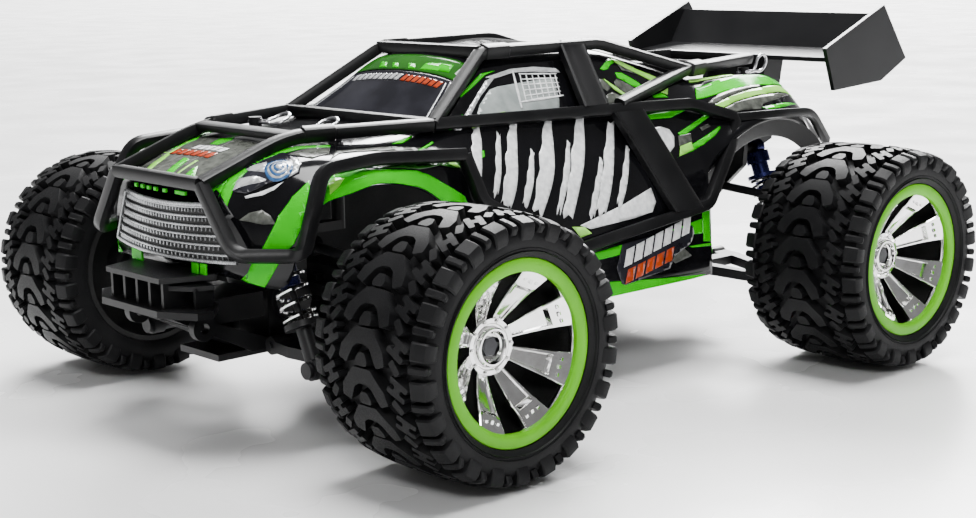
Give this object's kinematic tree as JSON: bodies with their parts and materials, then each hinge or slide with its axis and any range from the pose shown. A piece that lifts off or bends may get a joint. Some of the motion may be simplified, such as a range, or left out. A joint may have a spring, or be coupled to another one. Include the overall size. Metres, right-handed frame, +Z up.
{
  "type": "remote control car",
  "caption": "Off-road remote control car with roll cage, rear wing, sprung independent suspension, steered front wheels and large knobbly tyres.",
  "frame": {"origin": "middle of the overall length and width, on the ground under the tyres", "axes": "-Y points to the nose, +X to the car's left side, +Z up"},
  "size_m": [0.326, 0.4584, 0.1712],
  "materials": {
    "tyre_rubber": "matt moulded rubber",
    "chrome": "bright vacuum-plated plastic",
    "green_plastic": "glossy bright green",
    "steel": "satin",
    "black_plastic": "moulded, slightly satin",
    "blue_anodised": "dark blue anodised",
    "shell_paint": "glossy black with a green, grey and white livery",
    "cage_plastic": "satin moulded",
    "motor_can": "drawn can",
    "battery_wrap": "shrink wrap",
    "switch_plastic": "moulded"
  },
  "bodies": {
    "chassis": {"chassis_tub": "black_plastic", "gearbox_cases": "black_plastic", "shock_towers": "black_plastic", "front_bumper": "black_plastic", "body_shell": "shell_paint", "cage_front": "cage_plastic", "cage_cabin": "cage_plastic", "cage_sides": "cage_plastic", "cage_rear": "cage_plastic", "rear_wing": "cage_plastic", "drive_motors": "motor_can", "battery_pack": "battery_wrap", "steering_servo": "black_plastic", "body_clips": "steel"},
    "power_switch": {"power_switch": "switch_plastic"},
    "steering_rack": {"steering_rack": "black_plastic"},
    "arm_front_left": {"lower_arm_front_left": "black_plastic"},
    "hub_front_left": {"c_hub_front_left": "black_plastic"},
    "wheel_front_left": {"tyre_front_left": "tyre_rubber", "rim_front_left": "chrome", "bead_ring_front_left": "green_plastic", "axle_set_front_left": "steel"},
    "link_front_left": {"upper_link_front_left": "black_plastic"},
    "shock_body_front_left": {"shock_body_front_left": "blue_anodised", "shock_spring_front_left": "steel"},
    "shock_shaft_front_left": {"shock_shaft_front_left": "black_plastic"},
    "knuckle_front_left": {"steering_knuckle_front_left": "black_plastic"},
    "arm_front_right": {"lower_arm_front_right": "black_plastic"},
    "hub_front_right": {"c_hub_front_right": "black_plastic"},
    "wheel_front_right": {"tyre_front_right": "tyre_rubber", "rim_front_right": "chrome", "bead_ring_front_right": "green_plastic", "axle_set_front_right": "steel"},
    "link_front_right": {"upper_link_front_right": "black_plastic"},
    "shock_body_front_right": {"shock_body_front_right": "blue_anodised", "shock_spring_front_right": "steel"},
    "shock_shaft_front_right": {"shock_shaft_front_right": "black_plastic"},
    "knuckle_front_right": {"steering_knuckle_front_right": "black_plastic"},
    "arm_rear_left": {"lower_arm_rear_left": "black_plastic"},
    "hub_rear_left": {"hub_carrier_rear_left": "black_plastic"},
    "wheel_rear_left": {"tyre_rear_left": "tyre_rubber", "rim_rear_left": "chrome", "bead_ring_rear_left": "green_plastic", "axle_set_rear_left": "steel"},
    "link_rear_left": {"upper_link_rear_left": "black_plastic"},
    "shock_body_rear_left": {"shock_body_rear_left": "blue_anodised", "shock_spring_rear_left": "steel"},
    "shock_shaft_rear_left": {"shock_shaft_rear_left": "black_plastic"},
    "arm_rear_right": {"lower_arm_rear_right": "black_plastic"},
    "hub_rear_right": {"hub_carrier_rear_right": "black_plastic"},
    "wheel_rear_right": {"tyre_rear_right": "tyre_rubber", "rim_rear_right": "chrome", "bead_ring_rear_right": "green_plastic", "axle_set_rear_right": "steel"},
    "link_rear_right": {"upper_link_rear_right": "black_plastic"},
    "shock_body_rear_right": {"shock_body_rear_right": "blue_anodised", "shock_spring_rear_right": "steel"},
    "shock_shaft_rear_right": {"shock_shaft_rear_right": "black_plastic"},
    "tie_rod_left": {"tie_rod_left": "black_plastic"},
    "tie_rod_right": {"tie_rod_right": "black_plastic"}
  },
  "joints": [
    {"name": "power_switch_slide", "type": "slide", "parent": "chassis", "child": "power_switch", "axis": [0, 1, 0], "range_m": [0, 0.004]},
    {"name": "suspension_front_left", "type": "hinge", "parent": "chassis", "child": "arm_front_left", "pos_m": [0.024, -0.155, 0.038], "axis": [0, -1, 0], "range_deg": [-4, 10], "stiffness_Nm_per_rad": 2.2, "springref_deg": -5.44},
    {"name": "hub_pivot_front_left", "type": "hinge", "parent": "arm_front_left", "child": "hub_front_left", "pos_m": [0.092, -0.155, 0.033], "axis": [0, -1, 0], "range_deg": [-10.2, 4.2]},
    {"name": "upper_link_front_left", "type": "hinge", "parent": "chassis", "child": "link_front_left", "pos_m": [0.03, -0.155, 0.08], "axis": [0, -1, 0], "range_deg": [-4.2, 10.2]},
    {"name": "shock_tilt_front_left", "type": "hinge", "parent": "chassis", "child": "shock_body_front_left", "pos_m": [0.032, -0.1795, 0.1], "axis": [0, -1, 0], "range_deg": [-1.28, 2.74]},
    {"name": "shock_stroke_front_left", "type": "slide", "parent": "shock_body_front_left", "child": "shock_shaft_front_left", "axis": [0.4202, 0, -0.9075], "range_m": [-0.00615, 0.00258], "deforming": ["shock_spring_front_left"]},
    {"name": "steer_front_left", "type": "hinge", "parent": "hub_front_left", "child": "knuckle_front_left", "pos_m": [0.1, -0.155, 0.054], "axis": [0, 0, 1], "range_deg": [-22, 22]},
    {"name": "wheel_spin_front_left", "type": "hinge", "parent": "knuckle_front_left", "child": "wheel_front_left", "pos_m": [0.13, -0.155, 0.054], "axis": [1, 0, 0], "continuous": true},
    {"name": "suspension_front_right", "type": "hinge", "parent": "chassis", "child": "arm_front_right", "pos_m": [-0.024, -0.155, 0.038], "axis": [0, 1, 0], "range_deg": [-4, 10], "stiffness_Nm_per_rad": 2.2, "springref_deg": -5.44},
    {"name": "hub_pivot_front_right", "type": "hinge", "parent": "arm_front_right", "child": "hub_front_right", "pos_m": [-0.092, -0.155, 0.033], "axis": [0, 1, 0], "range_deg": [-10.2, 4.2]},
    {"name": "upper_link_front_right", "type": "hinge", "parent": "chassis", "child": "link_front_right", "pos_m": [-0.03, -0.155, 0.08], "axis": [0, 1, 0], "range_deg": [-4.2, 10.2]},
    {"name": "shock_tilt_front_right", "type": "hinge", "parent": "chassis", "child": "shock_body_front_right", "pos_m": [-0.032, -0.1795, 0.1], "axis": [0, 1, 0], "range_deg": [-1.28, 2.74]},
    {"name": "shock_stroke_front_right", "type": "slide", "parent": "shock_body_front_right", "child": "shock_shaft_front_right", "axis": [-0.4202, 0, -0.9075], "range_m": [-0.00615, 0.00258], "deforming": ["shock_spring_front_right"]},
    {"name": "steer_front_right", "type": "hinge", "parent": "hub_front_right", "child": "knuckle_front_right", "pos_m": [-0.1, -0.155, 0.054], "axis": [0, 0, 1], "range_deg": [-22, 22]},
    {"name": "wheel_spin_front_right", "type": "hinge", "parent": "knuckle_front_right", "child": "wheel_front_right", "pos_m": [-0.13, -0.155, 0.054], "axis": [1, 0, 0], "continuous": true},
    {"name": "suspension_rear_left", "type": "hinge", "parent": "chassis", "child": "arm_rear_left", "pos_m": [0.024, 0.107, 0.038], "axis": [0, -1, 0], "range_deg": [-4, 10], "stiffness_Nm_per_rad": 2.2, "springref_deg": -5.44},
    {"name": "hub_pivot_rear_left", "type": "hinge", "parent": "arm_rear_left", "child": "hub_rear_left", "pos_m": [0.092, 0.107, 0.033], "axis": [0, -1, 0], "range_deg": [-10.2, 4.2]},
    {"name": "upper_link_rear_left", "type": "hinge", "parent": "chassis", "child": "link_rear_left", "pos_m": [0.03, 0.107, 0.08], "axis": [0, -1, 0], "range_deg": [-4.2, 10.2]},
    {"name": "shock_tilt_rear_left", "type": "hinge", "parent": "chassis", "child": "shock_body_rear_left", "pos_m": [0.041, 0.134, 0.097], "axis": [0, -1, 0], "range_deg": [-1.24, 2.64]},
    {"name": "shock_stroke_rear_left", "type": "slide", "parent": "shock_body_rear_left", "child": "shock_shaft_rear_left", "axis": [0.3481, 0, -0.9375], "range_m": [-0.00669, 0.0028], "deforming": ["shock_spring_rear_left"]},
    {"name": "wheel_spin_rear_left", "type": "hinge", "parent": "hub_rear_left", "child": "wheel_rear_left", "pos_m": [0.13, 0.107, 0.054], "axis": [1, 0, 0], "continuous": true},
    {"name": "suspension_rear_right", "type": "hinge", "parent": "chassis", "child": "arm_rear_right", "pos_m": [-0.024, 0.107, 0.038], "axis": [0, 1, 0], "range_deg": [-4, 10], "stiffness_Nm_per_rad": 2.2, "springref_deg": -5.44},
    {"name": "hub_pivot_rear_right", "type": "hinge", "parent": "arm_rear_right", "child": "hub_rear_right", "pos_m": [-0.092, 0.107, 0.033], "axis": [0, 1, 0], "range_deg": [-10.2, 4.2]},
    {"name": "upper_link_rear_right", "type": "hinge", "parent": "chassis", "child": "link_rear_right", "pos_m": [-0.03, 0.107, 0.08], "axis": [0, 1, 0], "range_deg": [-4.2, 10.2]},
    {"name": "shock_tilt_rear_right", "type": "hinge", "parent": "chassis", "child": "shock_body_rear_right", "pos_m": [-0.041, 0.134, 0.097], "axis": [0, 1, 0], "range_deg": [-1.24, 2.64]},
    {"name": "shock_stroke_rear_right", "type": "slide", "parent": "shock_body_rear_right", "child": "shock_shaft_rear_right", "axis": [-0.3481, 0, -0.9375], "range_m": [-0.00669, 0.0028], "deforming": ["shock_spring_rear_right"]},
    {"name": "wheel_spin_rear_right", "type": "hinge", "parent": "hub_rear_right", "child": "wheel_rear_right", "pos_m": [-0.13, 0.107, 0.054], "axis": [1, 0, 0], "continuous": true},
    {"name": "rack_slide", "type": "slide", "parent": "chassis", "child": "steering_rack", "axis": [1, 0, 0], "range_m": [-0.0072, 0.0072]},
    {"name": "tie_rod_tilt_left", "type": "hinge", "parent": "steering_rack", "child": "tie_rod_left", "pos_m": [0.028, -0.1378, 0.056], "axis": [0, -1, 0], "range_deg": [-4.2, 10.2]},
    {"name": "tie_rod_tilt_right", "type": "hinge", "parent": "steering_rack", "child": "tie_rod_right", "pos_m": [-0.028, -0.1378, 0.056], "axis": [0, 1, 0], "range_deg": [-4.2, 10.2]}
  ],
  "couplings": [
    {"joint": "hub_pivot_front_left", "follows": "suspension_front_left", "ratio": -1},
    {"joint": "upper_link_front_left", "follows": "suspension_front_left", "ratio": 1},
    {"joint": "shock_tilt_front_left", "follows": "suspension_front_left", "ratio": 0.24427},
    {"joint": "shock_stroke_front_left", "follows": "suspension_front_left", "m_per_rad": -0.034092},
    {"joint": "hub_pivot_front_right", "follows": "suspension_front_right", "ratio": -1},
    {"joint": "upper_link_front_right", "follows": "suspension_front_right", "ratio": 1},
    {"joint": "shock_tilt_front_right", "follows": "suspension_front_right", "ratio": 0.24427},
    {"joint": "shock_stroke_front_right", "follows": "suspension_front_right", "m_per_rad": -0.034092},
    {"joint": "hub_pivot_rear_left", "follows": "suspension_rear_left", "ratio": -1},
    {"joint": "upper_link_rear_left", "follows": "suspension_rear_left", "ratio": 1},
    {"joint": "shock_tilt_rear_left", "follows": "suspension_rear_left", "ratio": 0.23423},
    {"joint": "shock_stroke_rear_left", "follows": "suspension_rear_left", "m_per_rad": -0.037177},
    {"joint": "hub_pivot_rear_right", "follows": "suspension_rear_right", "ratio": -1},
    {"joint": "upper_link_rear_right", "follows": "suspension_rear_right", "ratio": 1},
    {"joint": "shock_tilt_rear_right", "follows": "suspension_rear_right", "ratio": 0.23423},
    {"joint": "shock_stroke_rear_right", "follows": "suspension_rear_right", "m_per_rad": -0.037177},
    {"joint": "steer_front_right", "follows": "steer_front_left", "ratio": 1},
    {"joint": "rack_slide", "follows": "steer_front_left", "m_per_rad": -0.017579},
    {"joint": "tie_rod_tilt_left", "follows": "suspension_front_left", "ratio": 1},
    {"joint": "tie_rod_tilt_right", "follows": "suspension_front_right", "ratio": 1}
  ]
}
